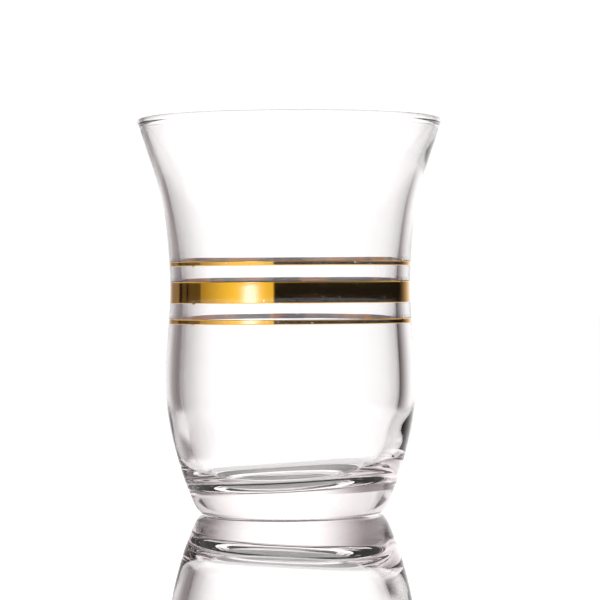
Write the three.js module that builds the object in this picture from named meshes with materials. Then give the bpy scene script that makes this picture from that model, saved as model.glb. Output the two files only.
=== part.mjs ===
// A wide tulip-shaped tea glass with three gold bands fired on round its waist.
// It is one thick-bottomed blown body, and each band is a thin ring that hugs the wall.
// Millimetres, +Z up, origin at the middle of the flat ring the glass stands on.

import * as THREE from 'three';

// Heights and radii of the body's outside, from the foot up
const CONTACT_INNER_RADIUS = 17.2;
const CONTACT_OUTER_RADIUS = 18.6;
const UNDERSIDE_RISE = 0.5;
const FOOT_RADIUS = 21.1;
const FOOT_TOP_Z = 3.6;
const BELLY_RADIUS = 26.3;
const BELLY_Z = 29.5;
const WAIST_RADIUS = 25.3;
const WAIST_Z = 47;
const LIP_ROOT_RADIUS = 31.5;
const LIP_ROOT_Z = 80.9;

// Thickness of the wall at heights over the bowl
const WALL_THICKNESS = [
  [21.5, 3.2],
  [28.5, 3.1],
  [38, 3.06],
  [47, 2.74],
  [56, 2.32],
  [66, 1.98],
  [74, 1.7],
  [77.5, 1.35],
  [LIP_ROOT_Z, 0.9],
];

// The hollow's bottom is askew: it rises towards +X and towards the back, +Y
const FLOOR_Z = 7.2;
const SLOPE_ASIDE = THREE.MathUtils.degToRad(3.2);
const SLOPE_BACK = THREE.MathUtils.degToRad(3.6);
const SLOPE_FULL_Z = 12;
const SLOPE_GONE_Z = 22;
const HOLLOW_ASIDE = -0.17;
const HOLLOW_ASIDE_TOP_Z = 72;
const HOLLOW_CENTRED_Z = 80;

// Rolled lip
const LIP_RADIUS = 0.7;
const LIP_CENTRE_RADIUS = 31.35;
const LIP_CENTRE_Z = 82.4;
const LIP_START = THREE.MathUtils.degToRad(-40);
const LIP_END = THREE.MathUtils.degToRad(200);

// Gold bands: each one's lower and upper edge, and the thickness of the fired layer as a solid
const BANDS = {
  gold_band_lower: [40, 41],
  gold_band_middle: [44.3, 48.7],
  gold_band_upper: [52, 52.9],
};
const BAND_THICKNESS = 0.1;

// Fineness of the surfaces
const SIDES = 56;
const OUTER_ROW = 5;
const INNER_STEPS = 28;
const LIP_STEPS = 7;
const FOOT_STEPS = 3;
const UNDERSIDE_STEPS = 3;
const SEARCH_STEPS = 40;

const glassMaterial = new THREE.MeshStandardMaterial({
  color: 0xeeebea,
  roughness: 0.05,
  metalness: 0,
  transparent: true,
  opacity: 0.35,
});
const goldMaterial = new THREE.MeshStandardMaterial({
  color: 0xd9a441,
  roughness: 0.2,
  metalness: 1,
});

// A point of a section: distance from the axis, and height
function at(radius, z) {
  return new THREE.Vector2(radius, z);
}

// Outer wall: flared foot, belly, waist, and a mouth that opens to the lip
const outerWall = new THREE.SplineCurve([
  at(FOOT_RADIUS, FOOT_TOP_Z),
  at(22.15, 6.2),
  at(24.2, 12.9),
  at(25.7, 20),
  at(BELLY_RADIUS, BELLY_Z),
  at(25.8, 38),
  at(WAIST_RADIUS, WAIST_Z),
  at(25.55, 54.5),
  at(26.75, 65),
  at(28.9, 73),
  at(LIP_ROOT_RADIUS, LIP_ROOT_Z),
]);

// Inner wall: from the flat of the floor up a rounded bowl, then along inside the outer wall
const innerWall = new THREE.SplineCurve([
  at(4.5, FLOOR_Z),
  at(11, 7.25),
  at(14.6, 7.55),
  at(17.6, 8.9),
  at(19.6, 11.5),
  at(21.3, 16.6),
  ...WALL_THICKNESS.map(([z, thickness]) => at(wallPoint(outerWall, z).x - thickness, z)),
]);

// Point of a rising wall curve at a height
function wallPoint(wall, z) {
  let low = 0;
  let high = 1;
  for (let step = 0; step < SEARCH_STEPS; step += 1) {
    const middle = (low + high) / 2;
    if (wall.getPoint(middle).y < z) {
      low = middle;
    } else {
      high = middle;
    }
  }
  return at(wall.getPoint(low).x, z);
}

// Heights from one level to the next, no further apart than a row, without the first level
function rowsBetween(bottom, top, row) {
  const count = Math.ceil((top - bottom) / row);
  const heights = [];
  for (let index = 1; index <= count; index += 1) {
    heights.push(bottom + ((top - bottom) * index) / count);
  }
  return heights;
}

// Heights of the outer wall's rows, with one on every edge of a band
function outerHeights() {
  const edges = Object.values(BANDS).flat();
  const heights = [FOOT_TOP_Z];
  for (const level of [...edges, LIP_ROOT_Z]) {
    heights.push(...rowsBetween(heights.at(-1), level, OUTER_ROW));
  }
  return heights;
}

// Underside: a shallow dome inside the flat ring that the glass stands on
function undersideSection() {
  const section = [];
  for (let step = 0; step <= UNDERSIDE_STEPS; step += 1) {
    const share = step / UNDERSIDE_STEPS;
    section.push(at(CONTACT_INNER_RADIUS * share, UNDERSIDE_RISE * (1 - share * share)));
  }
  return section;
}

// Foot: from the ring's outer edge round and up to the wall
function footSection() {
  const edge = new THREE.QuadraticBezierCurve(
    at(CONTACT_OUTER_RADIUS, 0),
    at(19.9, 0.35),
    at(FOOT_RADIUS, FOOT_TOP_Z),
  );
  return edge.getPoints(FOOT_STEPS);
}

// Lip: a slender fire-polished roll that rounds the wall off
function lipSection() {
  const section = [];
  for (let step = 0; step <= LIP_STEPS; step += 1) {
    const angle = THREE.MathUtils.lerp(LIP_START, LIP_END, step / LIP_STEPS);
    const radius = LIP_CENTRE_RADIUS + LIP_RADIUS * Math.cos(angle);
    section.push(at(radius, LIP_CENTRE_Z + LIP_RADIUS * Math.sin(angle)));
  }
  return section;
}

// Inside from the lip down to the floor's middle
function cavitySection() {
  return [...innerWall.getSpacedPoints(INNER_STEPS).reverse(), at(0, FLOOR_Z)];
}

// Body turned about the vertical axis from a section
function turned(section) {
  const geometry = new THREE.LatheGeometry(section, SIDES);
  geometry.rotateX(Math.PI / 2);
  return geometry;
}

// The hollow sits a little to one side, and its bottom slopes
function setCavityAskew(geometry, sectionLength, cavityStart) {
  const { smoothstep } = THREE.MathUtils;
  const places = geometry.getAttribute('position');
  for (let index = 0; index < places.count; index += 1) {
    if (index % sectionLength >= cavityStart) {
      const x = places.getX(index);
      const z = places.getZ(index);
      const slope = x * Math.tan(SLOPE_ASIDE) + places.getY(index) * Math.tan(SLOPE_BACK);
      const sloped = 1 - smoothstep(z, SLOPE_FULL_Z, SLOPE_GONE_Z);
      const aside = 1 - smoothstep(z, HOLLOW_ASIDE_TOP_Z, HOLLOW_CENTRED_Z);
      places.setX(index, x + HOLLOW_ASIDE * aside);
      places.setZ(index, z + slope * sloped);
    }
  }
}

function makeGlass() {
  const outside = [
    ...undersideSection(),
    ...footSection(),
    ...outerHeights().slice(1).map((z) => wallPoint(outerWall, z)),
    ...lipSection(),
  ];
  const section = [...outside, ...cavitySection()];
  const geometry = turned(section);
  setCavityAskew(geometry, section.length, outside.length);
  const glass = new THREE.Mesh(geometry, glassMaterial);
  glass.name = 'glass';
  return glass;
}

function makeBand(name, bottom, top) {
  const inner = outerHeights()
    .filter((z) => z >= bottom && z <= top)
    .map((z) => wallPoint(outerWall, z));
  const outer = inner.map((point) => at(point.x + BAND_THICKNESS, point.y));
  const section = [...outer, ...inner.reverse(), outer[0]];
  const band = new THREE.Mesh(turned(section), goldMaterial);
  band.name = name;
  return band;
}

const teaGlass = new THREE.Group();
teaGlass.add(makeGlass());
for (const [name, [bottom, top]] of Object.entries(BANDS)) {
  teaGlass.add(makeBand(name, bottom, top));
}

export default teaGlass;
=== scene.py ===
import math

import bmesh
import bpy
import numpy as np
from mathutils import Matrix


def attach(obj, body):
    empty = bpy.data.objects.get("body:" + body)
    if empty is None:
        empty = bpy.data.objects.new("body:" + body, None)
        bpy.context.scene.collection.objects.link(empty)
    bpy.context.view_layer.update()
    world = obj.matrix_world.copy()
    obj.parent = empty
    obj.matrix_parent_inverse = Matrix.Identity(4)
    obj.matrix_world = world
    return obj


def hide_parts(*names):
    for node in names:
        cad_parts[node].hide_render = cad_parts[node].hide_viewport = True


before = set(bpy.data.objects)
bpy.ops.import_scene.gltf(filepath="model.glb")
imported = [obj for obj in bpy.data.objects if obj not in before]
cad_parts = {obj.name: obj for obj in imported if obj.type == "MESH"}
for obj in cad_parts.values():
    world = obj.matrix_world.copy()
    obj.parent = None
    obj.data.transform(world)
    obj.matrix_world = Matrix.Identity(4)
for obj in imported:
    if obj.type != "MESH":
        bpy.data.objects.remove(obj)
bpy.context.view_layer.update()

MM = 0.001
BODY = "root"
WHITE = (1, 1, 1, 1)

# Body of the glass, in millimetres: distance from the axis, then height
CONTACT_INNER_RADIUS = 17.2
CONTACT_OUTER_RADIUS = 18.6
UNDERSIDE_RISE = 0.5
FOOT_CONTROL = (19.9, 0.35)
FOOT_TOP = (21.1, 3.6)
OUTER_WALL = [
    (22.15, 6.2),
    (24.2, 12.9),
    (25.7, 20),
    (26.3, 29.5),
    (25.8, 38),
    (25.3, 47),
    (25.55, 54.5),
    (26.75, 65),
    (28.9, 73),
    (31.5, 80.9),
]
LIP_CENTRE = (31.35, 82.4)
LIP_RADIUS = 0.7
LIP_FROM = math.radians(-40)
LIP_TO = math.radians(200)
LIP_POINTS = 8

# Wall thickness at heights above the bowl, and the bowl's own outline
WALL_THICKNESS = [
    (80.9, 1.1),
    (77.5, 1.35),
    (74, 1.7),
    (66, 1.98),
    (56, 2.32),
    (47, 2.74),
    (38, 3.06),
    (28.5, 3.1),
    (21.5, 3.2),
]
BOWL = [
    (21.3, 16.6),
    (19.6, 11.5),
    (17.6, 8.9),
    (14.6, 7.55),
    (11, 7.25),
    (4.5, 7.2),
]
FLOOR_Z = 7.2
FLOOR_SLOPE_ASIDE = math.radians(3.2)
FLOOR_SLOPE_BACK = math.radians(3.6)
SLOPE_FULL_Z = 12
SLOPE_GONE_Z = 22
HOLLOW_ASIDE = -0.17
HOLLOW_CENTRED_Z = 80
CENTRING_FROM = 0.9

# Fineness of the turned surfaces
GLASS_SIDES = 240
GOLD_SIDES = 720
ROW = 0.7
LEAST_ROWS = 4
FOOT_ROWS = 14
UNDERSIDE_ROWS = 14
WELD = 1e-6

# Gold bands: lower and upper edge of each
GOLD_BANDS = {
    "gold_band_lower": (40, 41),
    "gold_band_middle": (44.3, 48.7),
    "gold_band_upper": (52, 52.9),
}
GOLD_PIECES = {
    "gold_band_lower": "lower_gold_line",
    "gold_band_middle": "middle_gold_band",
    "gold_band_upper": "upper_gold_line",
}
GOLD_PROUD = 0.03
GOLD_SUNK = 0.03
GOLD_ROW = 0.2
# Film at a band's edges, and how far in it is full: on the gold's glass side this paints the thin
# edges lighter and the middle darker, as painted light and shade
EDGE_FILM_AND_LIGHT = 0.4
FULL_FILM_AND_SHADE_FROM_EDGE = 1.0


class Link:
    """An output socket that sums can be written with: each operation adds its Math node."""

    def __init__(self, wiring, socket):
        self.wiring = wiring
        self.socket = socket

    def out(self, name):
        """Another output of the same node."""
        return self.wiring.output_of(self.socket.node, name)

    def maths(self, operation, *values):
        return self.wiring.node("ShaderNodeMath", {"operation": operation}, values)

    def __add__(self, other):
        return self.maths("ADD", self, other)

    def __sub__(self, other):
        return self.maths("SUBTRACT", self, other)

    def __rsub__(self, other):
        return self.maths("SUBTRACT", other, self)

    def __mul__(self, other):
        return self.maths("MULTIPLY", self, other)

    def __truediv__(self, other):
        return self.maths("DIVIDE", self, other)

    def __neg__(self):
        return self.maths("MULTIPLY", self, -1)

    __radd__ = __add__
    __rmul__ = __mul__


class Wiring:
    """Adds nodes to one tree: a node's type, its settings, then its sockets' values or links."""

    def __init__(self, tree):
        self.tree = tree
        tree.nodes.clear()

    def socket(self, sockets, key):
        """A socket by its place, its identifier or its name."""
        if isinstance(key, int):
            return sockets[key]
        by_identifier = {socket.identifier: socket for socket in sockets}
        return by_identifier.get(key) or sockets[key]

    def output_of(self, node, key):
        return Link(self, self.socket(node.outputs, key))

    def node(self, kind, settings=None, sockets=()):
        node = self.tree.nodes.new(kind)
        for name, value in (settings or {}).items():
            setattr(node, name, value)
        pairs = sockets.items() if isinstance(sockets, dict) else enumerate(sockets)
        for key, value in pairs:
            self.feed(self.socket(node.inputs, key), value)
        shown = [socket for socket in node.outputs if socket.enabled]
        return Link(self, shown[0]) if shown else None

    def feed(self, socket, value):
        if isinstance(value, Link):
            self.tree.links.new(value.socket, socket)
        elif value is not None:
            socket.default_value = value

    def between(self, value, low, high):
        """0 below low, 1 above high, and a smooth step in between."""
        return self.node(
            "ShaderNodeMapRange",
            {"interpolation_type": "SMOOTHSTEP"},
            {"Value": value, "From Min": low, "From Max": high},
        )

    def blend(self, share, first, second):
        """A colour from first to second as share goes from 0 to 1."""
        mixed = self.node(
            "ShaderNodeMix",
            {"data_type": "RGBA"},
            {"Factor_Float": share, "A_Color": first, "B_Color": second},
        )
        return mixed.out("Result_Color")

    def noise(self, place, scale, detail=2.0):
        return self.node(
            "ShaderNodeTexNoise",
            {"noise_dimensions": "3D"},
            {"Vector": place, "Scale": scale, "Detail": detail},
        )

    def stretched(self, place, scale):
        """A pattern's place, finer or coarser along each axis."""
        return self.node(
            "ShaderNodeMapping", {"vector_type": "POINT"}, {"Vector": place, "Scale": scale}
        )


def flowing_line(points):
    """Natural cubic spline through points, with rows no further apart than ROW."""
    points = np.array(points, float)
    gaps = np.linalg.norm(np.diff(points, axis=0), axis=1)
    slopes = np.diff(points, axis=0) / gaps[:, None]
    system = np.eye(len(points))
    target = np.zeros_like(points)
    for k in range(1, len(points) - 1):
        system[k, k - 1:k + 2] = gaps[k - 1], 2 * (gaps[k - 1] + gaps[k]), gaps[k]
        target[k] = 6 * (slopes[k] - slopes[k - 1])
    bend = np.linalg.solve(system, target)
    line = []
    for k, gap in enumerate(gaps):
        rows = max(LEAST_ROWS, math.ceil(gap / ROW))
        for before in np.arange(rows) * gap / rows:
            after = gap - before
            curve = (bend[k] * after**3 + bend[k + 1] * before**3) / (6 * gap)
            start = (points[k] / gap - bend[k] * gap / 6) * after
            end = (points[k + 1] / gap - bend[k + 1] * gap / 6) * before
            line.append(tuple(curve + start + end))
    line.append(tuple(points[-1]))
    return line


def radius_at(line, z):
    """Distance from the axis of a rising line at a height."""
    return float(np.interp(z, [point[1] for point in line], [point[0] for point in line]))


def foot_round():
    """The foot's edge, from the contact ring round to the wall."""
    start = np.array((CONTACT_OUTER_RADIUS, 0))
    control = np.array(FOOT_CONTROL)
    end = np.array(FOOT_TOP)
    shares = [row / FOOT_ROWS for row in range(FOOT_ROWS)]
    return [
        tuple((1 - s) ** 2 * start + 2 * s * (1 - s) * control + s**2 * end) for s in shares
    ]


def underside():
    """The shallow dome under the foot, from the axis to the contact ring."""
    shares = [row / UNDERSIDE_ROWS for row in range(UNDERSIDE_ROWS + 1)]
    return [(CONTACT_INNER_RADIUS * s, UNDERSIDE_RISE * (1 - s * s)) for s in shares]


def lip_round():
    angles = np.linspace(LIP_FROM, LIP_TO, LIP_POINTS)
    return [
        (
            LIP_CENTRE[0] + LIP_RADIUS * math.cos(angle),
            LIP_CENTRE[1] + LIP_RADIUS * math.sin(angle),
        )
        for angle in angles
    ]


def glass_section():
    """The glass cut through, from the underside's middle round to the floor's middle."""
    outer = flowing_line([FOOT_TOP, *OUTER_WALL])
    inner_wall = [(radius_at(outer, z) - thick, z) for z, thick in WALL_THICKNESS]
    across = [(-radius, z) for radius, z in reversed(BOWL)]
    round_and_down = [FOOT_TOP, *OUTER_WALL, *lip_round(), *inner_wall, *BOWL, *across]
    whole = [point for point in flowing_line(round_and_down) if point[0] > ROW / 2]
    lip_row = max(range(len(whole)), key=lambda row: whole[row][1])
    section = [*underside(), *foot_round(), *whole, (0, FLOOR_Z)]
    inside_from = len(section) - len(whole) - 1 + lip_row
    return section, inside_from


def gold_section(outer, bottom, top):
    """A thin closed strip along the outer wall, with each point's place across it and its film, which
    also masks the painted light and shade on the gold's glass side.
    """
    rows = max(LEAST_ROWS, math.ceil((top - bottom) / GOLD_ROW))
    heights = np.linspace(bottom, top, rows + 1)
    shares = (2 * heights - bottom - top) / (top - bottom)
    face = [(radius_at(outer, z) + GOLD_PROUD, z) for z in heights]
    back = [(radius_at(outer, z) - GOLD_SUNK, z) for z in heights]
    from_edge = np.minimum(heights - bottom, top - heights)
    films_and_light_mask = EDGE_FILM_AND_LIGHT + (1 - EDGE_FILM_AND_LIGHT) * np.minimum(from_edge / FULL_FILM_AND_SHADE_FROM_EDGE, 1)
    section = [*face, *reversed(back), face[0]]
    return section, [*shares, *reversed(shares), shares[0]], [*films_and_light_mask, *(0 * films_and_light_mask), films_and_light_mask[0]]


def section_object(name, section, shares, films_and_light_mask):
    """A row of points in the XZ plane that a geometry tree turns about the axis."""
    mesh = bpy.data.meshes.new(name)
    mesh.from_pydata([(radius * MM, 0, z * MM) for radius, z in section], [], [])
    mesh.attributes.new("share", "FLOAT", "POINT").data.foreach_set("value", shares)
    mesh.attributes.new("film_and_light_mask", "FLOAT", "POINT").data.foreach_set("value", films_and_light_mask)
    piece = bpy.data.objects.new(name, mesh)
    bpy.context.scene.collection.objects.link(piece)
    return piece


def of_row(wiring, given, row, value, kind):
    """A value of the section's point that a row of the turned grid belongs to."""
    return wiring.node(
        "GeometryNodeSampleIndex",
        {"data_type": kind, "domain": "POINT"},
        {"Geometry": given, "Value": value, "Index": row},
    )


def marked_value(wiring, name):
    """A number that each point of the section carries."""
    return wiring.node("GeometryNodeInputNamedAttribute", {"data_type": "FLOAT"}, {"Name": name})


def turning_tree(name, inputs, shape):
    """A geometry tree that turns a section about Z; shape moves each turned point."""
    tree = bpy.data.node_groups.new(name, "GeometryNodeTree")
    tree.interface.new_socket("Geometry", in_out="INPUT", socket_type="NodeSocketGeometry")
    tree.interface.new_socket("Sides", in_out="INPUT", socket_type="NodeSocketInt")
    tree.interface.new_socket("Rows", in_out="INPUT", socket_type="NodeSocketInt")
    tree.interface.new_socket("Finish", in_out="INPUT", socket_type="NodeSocketMaterial")
    for label in inputs:
        tree.interface.new_socket(label, in_out="INPUT", socket_type="NodeSocketFloat")
    tree.interface.new_socket("Geometry", in_out="OUTPUT", socket_type="NodeSocketGeometry")
    wiring = Wiring(tree)
    given = wiring.node("NodeGroupInput")
    sides = given.out("Sides")
    rows = given.out("Rows")
    grid = wiring.node(
        "GeometryNodeMeshGrid",
        {},
        {"Size X": 1.0, "Size Y": 1.0, "Vertices X": sides + 1, "Vertices Y": rows},
    )
    index = wiring.node("GeometryNodeInputIndex")
    row = index.maths("FLOORED_MODULO", index, rows)
    column = index.maths("FLOOR", (index + 0.5) / rows)
    place = wiring.node("GeometryNodeInputPosition")
    point = of_row(wiring, given, row, place, "FLOAT_VECTOR")
    share = of_row(wiring, given, row, marked_value(wiring, "share"), "FLOAT")
    film_and_light_mask = of_row(wiring, given, row, marked_value(wiring, "film_and_light_mask"), "FLOAT")
    parts = wiring.node("ShaderNodeSeparateXYZ", {}, {"Vector": point})
    angle = column * math.tau / sides
    turned = shape(wiring, given, parts.out("X"), parts.out("Z"), angle, share)
    moved = wiring.node(
        "GeometryNodeSetPosition", {}, {"Geometry": grid, "Position": turned}
    )
    marked = wiring.node(
        "GeometryNodeStoreNamedAttribute",
        {"data_type": "FLOAT", "domain": "POINT"},
        {"Geometry": moved, "Name": "film_and_light_mask", "Value": film_and_light_mask},
    )
    closed = wiring.node(
        "GeometryNodeMergeByDistance", {}, {"Geometry": marked, "Distance": WELD}
    )
    smooth = wiring.node("GeometryNodeSetShadeSmooth", {}, {"Geometry": closed})
    real = wiring.node("GeometryNodeRealizeInstances", {}, {"Geometry": smooth})
    finished = wiring.node(
        "GeometryNodeSetMaterial", {}, {"Geometry": real, "Material": given.out("Finish")}
    )
    wiring.node("NodeGroupOutput", {}, {"Geometry": finished})
    return tree


def around(wiring, radius, z, angle):
    """The point at a radius, height and angle."""
    x = radius * angle.maths("COSINE", angle)
    y = radius * angle.maths("SINE", angle)
    return wiring.node("ShaderNodeCombineXYZ", {}, {"X": x, "Y": y, "Z": z})


def seeded_noise(wiring, place, scale, seed):
    """Noise about zero, from -1 to 1, that depends on a fixed seed."""
    texture = wiring.node(
        "ShaderNodeTexNoise",
        {"noise_dimensions": "4D"},
        {"Vector": place, "W": seed, "Scale": scale, "Detail": 1.0},
    )
    return texture * 2 - 1


def blown_shape(wiring, given, radius, z, angle, inside):
    """Blown glass: the wall ripples, and the floor slopes up towards +X and the back."""
    place = around(wiring, radius, z, angle)
    ripple = seeded_noise(wiring, place, given.out("Ripples Per Metre"), given.out("Seed"))
    depth = given.out("Outer Ripple") * (1 - inside) + given.out("Inner Ripple") * inside
    rippled = radius * (1 + ripple * depth)
    gone = wiring.between(z, given.out("Slope Full Height"), given.out("Slope Gone Height"))
    parts = wiring.node("ShaderNodeSeparateXYZ", {}, {"Vector": around(wiring, rippled, z, angle)})
    x = parts.out("X")
    y = parts.out("Y")
    slope = x * given.out("Slope Aside") + y * given.out("Slope Back")
    top = given.out("Centred Height")
    centred = wiring.between(z, CENTRING_FROM * top, top)
    aside = given.out("Hollow Aside") * (1 - centred) * inside
    return wiring.node(
        "ShaderNodeCombineXYZ",
        {},
        {"X": x + aside, "Y": y, "Z": z + slope * (1 - gone) * inside},
    )


def painted_shape(wiring, given, radius, z, angle, edge):
    """Gold painted on a turning glass: the edges wander, and the brush leaves two small marks."""
    ring = around(wiring, 1.0 + 0 * radius, edge, angle)
    wander = seeded_noise(wiring, ring, given.out("Wander Scale"), given.out("Seed"))
    near_edge = edge * edge
    moved = z + wander * near_edge * given.out("Edge Wander")
    for mark, side in (("Tick", -1), ("Spike", 1)):
        turn = (angle - given.out(mark + " Angle")) / given.out("Mark Width")
        at_edge = angle.maths("GREATER_THAN", edge * side, 0.9)
        moved = moved + angle.maths("EXPONENT", -(turn * turn)) * at_edge * given.out(mark)
    return around(wiring, radius, moved, angle)


def turned_piece(name, section, shares, films_and_light_mask, sides, finish, tree, sizes):
    """A section turned by a tree, as a plain mesh with its faces outward."""
    host = section_object(name + "_section", section, shares, films_and_light_mask)
    modifier = host.modifiers.new("turning", "NODES")
    modifier.node_group = tree
    values = {"Sides": sides, "Rows": len(section), "Finish": finish, **sizes}
    for item in tree.interface.items_tree:
        if item.in_out == "INPUT" and item.name in values:
            modifier[item.identifier] = values[item.name]
    shown = host.evaluated_get(bpy.context.evaluated_depsgraph_get())
    mesh = bpy.data.meshes.new_from_object(shown)
    mesh.name = name
    bpy.data.objects.remove(host)
    sheet = bmesh.new()
    sheet.from_mesh(mesh)
    bmesh.ops.dissolve_degenerate(sheet, edges=sheet.edges, dist=WELD)
    bmesh.ops.recalc_face_normals(sheet, faces=sheet.faces)
    sheet.to_mesh(mesh)
    sheet.free()
    piece = bpy.data.objects.new(name, mesh)
    bpy.context.scene.collection.objects.link(piece)
    return piece


def fresh_material(name):
    finish = bpy.data.materials.new(name)
    finish.use_nodes = True
    return finish, Wiring(finish.node_tree)


def clear_glass():
    """Soda-lime glass: colourless, with a faint warm grey where one looks through a lot of it."""
    finish, wiring = fresh_material("clear_soda_lime_glass")
    place = wiring.node("ShaderNodeTexCoord").out("Object")
    streaks = wiring.noise(wiring.stretched(place, (1, 1, 0.25)), 160)
    tint = wiring.blend(streaks, (1, 0.995, 0.997, 1), (0.99, 0.985, 0.987, 1))
    handled = wiring.between(wiring.noise(place, 90, 4), 0.62, 0.8)
    surface = wiring.node(
        "ShaderNodeBsdfPrincipled",
        {},
        {
            "Base Color": tint,
            "Roughness": handled * 0.003,
            "IOR": 1.5,
            "Transmission Weight": 1.0,
        },
    )
    body = wiring.node(
        "ShaderNodeVolumeAbsorption", {}, {"Color": (0.9, 0.65, 0.68, 1), "Density": 4.0}
    )
    wiring.node("ShaderNodeOutputMaterial", {}, {"Surface": surface, "Volume": body})
    return finish


def fired_gold():
    """Bright gold fired on glass: a film that lets a little light through, dull on the glass side,
    where its colour is painted light and shade: lighter peach at the thin edges, near black across
    the thick middle.
    """
    finish, wiring = fresh_material("fired_bright_gold")
    place = wiring.node("ShaderNodeTexCoord").out("Object")
    film_and_light_mask = wiring.node(
        "ShaderNodeAttribute", {"attribute_type": "GEOMETRY", "attribute_name": "film_and_light_mask"}
    ).out("Fac")
    reverse = wiring.node("ShaderNodeNewGeometry").out("Backfacing")
    cloud = wiring.noise(place, 220, 3)
    brushed = wiring.noise(wiring.stretched(place, (1, 1, 14)), 260, 3)
    bright = wiring.blend(cloud, (0.97, 0.53, 0.02, 1), (0.93, 0.49, 0.01, 1))
    patches = wiring.between(wiring.noise(place, 130, 2), 0.42, 0.58)
    # Glass side of the film: painted light at the thin edges (peach and grey in random patches),
    # painted shade across the thick middle (near black)
    painted_lit_edge = wiring.blend(patches, (0.95, 0.48, 0.27, 1), (0.38, 0.32, 0.32, 1))
    reverse_painted_light_and_shade = wiring.blend(wiring.between(film_and_light_mask, 0.7, 0.95), painted_lit_edge, (0.06, 0.04, 0.03, 1))
    whole = 1 - wiring.between(wiring.noise(place, 2600, 0), 0.8, 0.84)
    cover = 0.925 + wiring.noise(wiring.stretched(place, (1, 1, 5)), 300) * 0.03
    bump = wiring.node(
        "ShaderNodeBump", {}, {"Strength": 0.05, "Distance": 0.0001, "Height": brushed}
    )
    surface = wiring.node(
        "ShaderNodeBsdfPrincipled",
        {},
        {
            "Base Color": wiring.blend(reverse, bright, reverse_painted_light_and_shade),
            "Metallic": 1 - reverse,
            "Roughness": 0.05 + brushed * 0.04 + reverse * 0.3,
            "Alpha": cover * whole * wiring.between(film_and_light_mask, 0.0, 0.3),
            "Coat Weight": 0.5 - 0.5 * reverse,
            "Normal": bump,
        },
    )
    wiring.node("ShaderNodeOutputMaterial", {}, {"Surface": surface})
    return finish


# Table: how much it faces away where it starts to mirror, and how far out the mirror reaches
MIRROR_FACING = (0.8, 0.88)
MIRROR_FACING_THROUGH_GLASS = (0.42, 0.55)
MIRROR_EDGE = (0.17, 0.3)
MIRROR_MOST = 0.985
TABLE_HALF_SIDE = 4.0


def table_finish():
    """Polished pale sheet: matt white, and a mirror round the glass where one looks along it."""
    finish, wiring = fresh_material("polished_pale_table")
    place = wiring.node("ShaderNodeTexCoord").out("Object")
    grain = wiring.noise(place, 30, 3)
    white = wiring.blend(grain, (0.985, 0.985, 0.985, 1), (0.995, 0.995, 0.995, 1))
    matt = wiring.node(
        "ShaderNodeBsdfPrincipled",
        {},
        {"Base Color": white, "Roughness": 0.45, "Specular IOR Level": 0.0},
    )
    mirror = wiring.node(
        "ShaderNodeBsdfAnisotropic",
        {"distribution": "GGX"},
        {"Color": (0.98, 0.98, 0.98, 1), "Roughness": 0.0},
    )
    facing = wiring.node("ShaderNodeLayerWeight", {}, {"Blend": 0.5}).out("Facing")
    seen = wiring.node("ShaderNodeLightPath").out("Is Camera Ray")
    away = wiring.node("ShaderNodeVectorMath", {"operation": "LENGTH"}, (place,)).out("Value")
    along = wiring.between(facing, *MIRROR_FACING) * (1 - wiring.between(away, *MIRROR_EDGE))
    through = wiring.between(facing, *MIRROR_FACING_THROUGH_GLASS)
    share = along * seen + through * (1 - seen)
    mixed = wiring.node("ShaderNodeMixShader", {}, (share * MIRROR_MOST, matt, mirror))
    wiring.node("ShaderNodeOutputMaterial", {}, {"Surface": mixed})
    return finish


def make_table():
    side = TABLE_HALF_SIDE
    mesh = bpy.data.meshes.new("table")
    corners = [(-side, -side, 0), (side, -side, 0), (side, side, 0), (-side, side, 0)]
    mesh.from_pydata(corners, [], [(0, 1, 2, 3)])
    mesh.materials.append(table_finish())
    table = bpy.data.objects.new("table", mesh)
    bpy.context.scene.collection.objects.link(table)


# Studio: azimuths in degrees, of the backdrop from behind the glass and of the rest from the camera
BACKDROP_LIGHT = 1.25
BACKDROP_LEFT = (0, 33)
BACKDROP_LEFT_TAIL = (46.5, 49.5)
TAIL_SHARE = 0.13
BACKDROP_RIGHT = (10, 53)
SOFTBOX_LIGHT = 0.94
SOFTBOX_RISE = 0.2
SOFTBOX_RISES = (18, 32)
SOFTBOX_FALL = 0.83
SOFTBOX_FALLS = (45, 105)
SOFTBOX_EDGES = (15.3, 94.3)
SOFTBOX_EDGE_SOFTNESS = (0.5, 0.7)
PAST_SOFTBOX_LIGHT = 0.1
UNLIT = 0.005
LAMP_AZIMUTH = 38
LAMP_WIDTH = 7.5
LAMP_LIGHT = 22
LAMP_COLOUR = (0.06, 0.06, 1, 1)
GAPS = ((115, 2.0), (128, 3.2))
GAP_DARKNESS = 0.95

# Studio: heights of directions, as the sine of their elevation, and the light over and round all
TOP_EDGE = (0.66, 0.73)
TOP_LIGHT = 0.08
DOME_EDGE = (0.18, 0.3)
DOME_LIGHT = 0.75
EVEN_LIGHT = 1.06


def backdrop_share(wiring, behind):
    """How much of the backdrop's light comes from an azimuth measured from behind the glass."""
    left = 1 - wiring.between(-behind, *BACKDROP_LEFT)
    tail = 1 - wiring.between(-behind, *BACKDROP_LEFT_TAIL)
    left_half = left * (1 - TAIL_SHARE) + TAIL_SHARE * tail
    return left_half * (1 - wiring.between(behind, *BACKDROP_RIGHT))


def softbox_parts(wiring, left):
    """The softbox's light, and the shares that are inside it and past its far edge."""
    near, far = SOFTBOX_EDGES
    near_soft, far_soft = SOFTBOX_EDGE_SOFTNESS
    past_edge = wiring.between(left, far - far_soft, far + far_soft)
    inside = wiring.between(left, near - near_soft, near + near_soft) * (1 - past_edge)
    rise = SOFTBOX_RISE * wiring.between(left, *SOFTBOX_RISES)
    fall = SOFTBOX_FALL * wiring.between(left, *SOFTBOX_FALLS)
    return inside * (SOFTBOX_LIGHT + rise - fall), inside, past_edge


def bell(value, middle, width):
    """1 at the middle, falling off to both sides as a bell curve."""
    off = (value - middle) / width
    return value.maths("EXPONENT", -(off * off))


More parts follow.
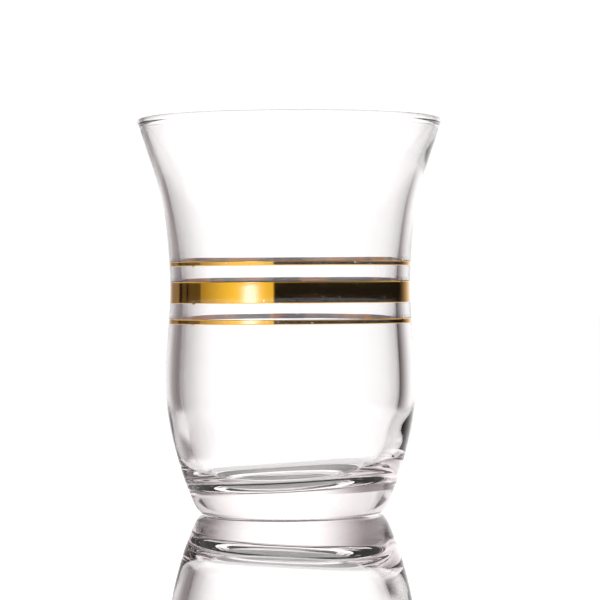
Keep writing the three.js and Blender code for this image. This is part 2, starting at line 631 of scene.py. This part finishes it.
def studio_light():
    """A lit backdrop, a softbox at the left, a dome over both, and a lamp that only gold shows."""
    world = bpy.data.worlds.new("studio")
    world.use_nodes = True
    bpy.context.scene.world = world
    wiring = Wiring(world.node_tree)
    way = wiring.node("ShaderNodeTexCoord").out("Generated")
    parts = wiring.node("ShaderNodeSeparateXYZ", {}, {"Vector": way})
    x = parts.out("X")
    y = parts.out("Y")
    z = parts.out("Z")
    left = x.maths("ARCTAN2", -x, -y) * math.degrees(1)
    backdrop = backdrop_share(wiring, x.maths("ARCTAN2", x, y) * math.degrees(1))
    softbox, inside, past_edge = softbox_parts(wiring, left)
    lit = UNLIT + BACKDROP_LIGHT * backdrop + softbox + PAST_SOFTBOX_LIGHT * past_edge
    for azimuth, width in GAPS:
        lit = lit * (1 - GAP_DARKNESS * bell(left, azimuth, width))
    high = wiring.between(z, *TOP_EDGE)
    dome = DOME_LIGHT * wiring.between(z, *DOME_EDGE) * (1 - backdrop) * (1 - inside)
    light = (lit + dome) * (1 - high) + TOP_LIGHT * high
    rays = wiring.node("ShaderNodeLightPath")
    scattered = x.maths("MINIMUM", rays.out("Diffuse Depth"), 1)
    even = x.maths("MAXIMUM", scattered, rays.out("Is Camera Ray"))
    bright = wiring.between(light, 0.0, 1.1)
    tint = wiring.blend(bright, (1, 0.86, 0.87, 1), (1, 0.985, 0.985, 1))
    background = wiring.node(
        "ShaderNodeBackground",
        {},
        {
            "Color": wiring.blend(even, tint, WHITE),
            "Strength": light * (1 - even) + EVEN_LIGHT * even,
        },
    )
    through = x.maths("MINIMUM", rays.out("Transmission Depth"), 1)
    satin = rays.out("Is Glossy Ray") * (1 - rays.out("Is Singular Ray")) * (1 - through)
    glow = bell(left, LAMP_AZIMUTH, LAMP_WIDTH) * (1 - even) * satin * (1 - high)
    lamp = wiring.node(
        "ShaderNodeBackground", {}, {"Color": LAMP_COLOUR, "Strength": LAMP_LIGHT * glow}
    )
    both = wiring.node("ShaderNodeAddShader", {}, (background, lamp))
    wiring.node("ShaderNodeOutputWorld", {}, {"Surface": both})


# Camera, fitted to the photograph's frame of 600 by 600 pixels
CAMERA_DISTANCE = 590 * MM
CAMERA_HEIGHT = 47.3 * MM
CAMERA_ASIDE = 2.05 * MM
CAMERA_DIP = math.radians(0.235)
CAMERA_ROLL = math.radians(-0.315)
LENS = 168
SENSOR = 36


def make_camera():
    data = bpy.data.cameras.new("camera")
    data.lens = LENS
    data.sensor_width = SENSOR
    data.clip_start = 0.01
    data.clip_end = 20
    camera = bpy.data.objects.new("camera", data)
    place = Matrix.Translation((CAMERA_ASIDE, -CAMERA_DISTANCE, CAMERA_HEIGHT))
    level = Matrix.Rotation(math.radians(90) - CAMERA_DIP, 4, "X")
    camera.matrix_world = place @ level @ Matrix.Rotation(CAMERA_ROLL, 4, "Z")
    bpy.context.scene.collection.objects.link(camera)
    bpy.context.scene.camera = camera


def make_glass(finish):
    section, inside_from = glass_section()
    shares = [float(row >= inside_from) for row in range(len(section))]
    sizes = {
        "Ripples Per Metre": 55.0,
        "Outer Ripple": 0.0004,
        "Inner Ripple": 0.0012,
        "Slope Aside": math.tan(FLOOR_SLOPE_ASIDE),
        "Slope Back": math.tan(FLOOR_SLOPE_BACK),
        "Hollow Aside": HOLLOW_ASIDE * MM,
        "Centred Height": HOLLOW_CENTRED_Z * MM,
        "Slope Full Height": SLOPE_FULL_Z * MM,
        "Slope Gone Height": SLOPE_GONE_Z * MM,
        "Seed": 3.0,
    }
    tree = turning_tree("turned_glass", list(sizes), blown_shape)
    films_and_light_mask = [0.0] * len(section)
    glass = turned_piece("blown_body", section, shares, films_and_light_mask, GLASS_SIDES, finish, tree, sizes)
    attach(glass, BODY)
    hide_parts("glass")


def make_gold(finish):
    outer = flowing_line([FOOT_TOP, *OUTER_WALL])
    sizes = {
        "Wander Scale": 2.2,
        "Edge Wander": 0.05 * MM,
        "Tick": -0.35 * MM,
        "Tick Angle": math.radians(219),
        "Spike": 0.8 * MM,
        "Spike Angle": math.radians(336),
        "Mark Width": 0.012,
        "Seed": 0.0,
    }
    tree = turning_tree("painted_gold", list(sizes), painted_shape)
    for seed, (node, (bottom, top)) in enumerate(GOLD_BANDS.items()):
        section, shares, films_and_light_mask = gold_section(outer, bottom, top)
        sizes["Seed"] = float(seed)
        piece = turned_piece(
            GOLD_PIECES[node], section, shares, films_and_light_mask, GOLD_SIDES, finish, tree, sizes
        )
        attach(piece, BODY)
        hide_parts(node)


def set_render_quality():
    cycles = bpy.context.scene.cycles
    cycles.max_bounces = 24
    cycles.transmission_bounces = 20
    cycles.glossy_bounces = 12
    cycles.transparent_max_bounces = 24
    bpy.context.scene.view_settings.view_transform = "Standard"


make_camera()
make_table()
studio_light()
make_glass(clear_glass())
make_gold(fired_gold())
set_render_quality()
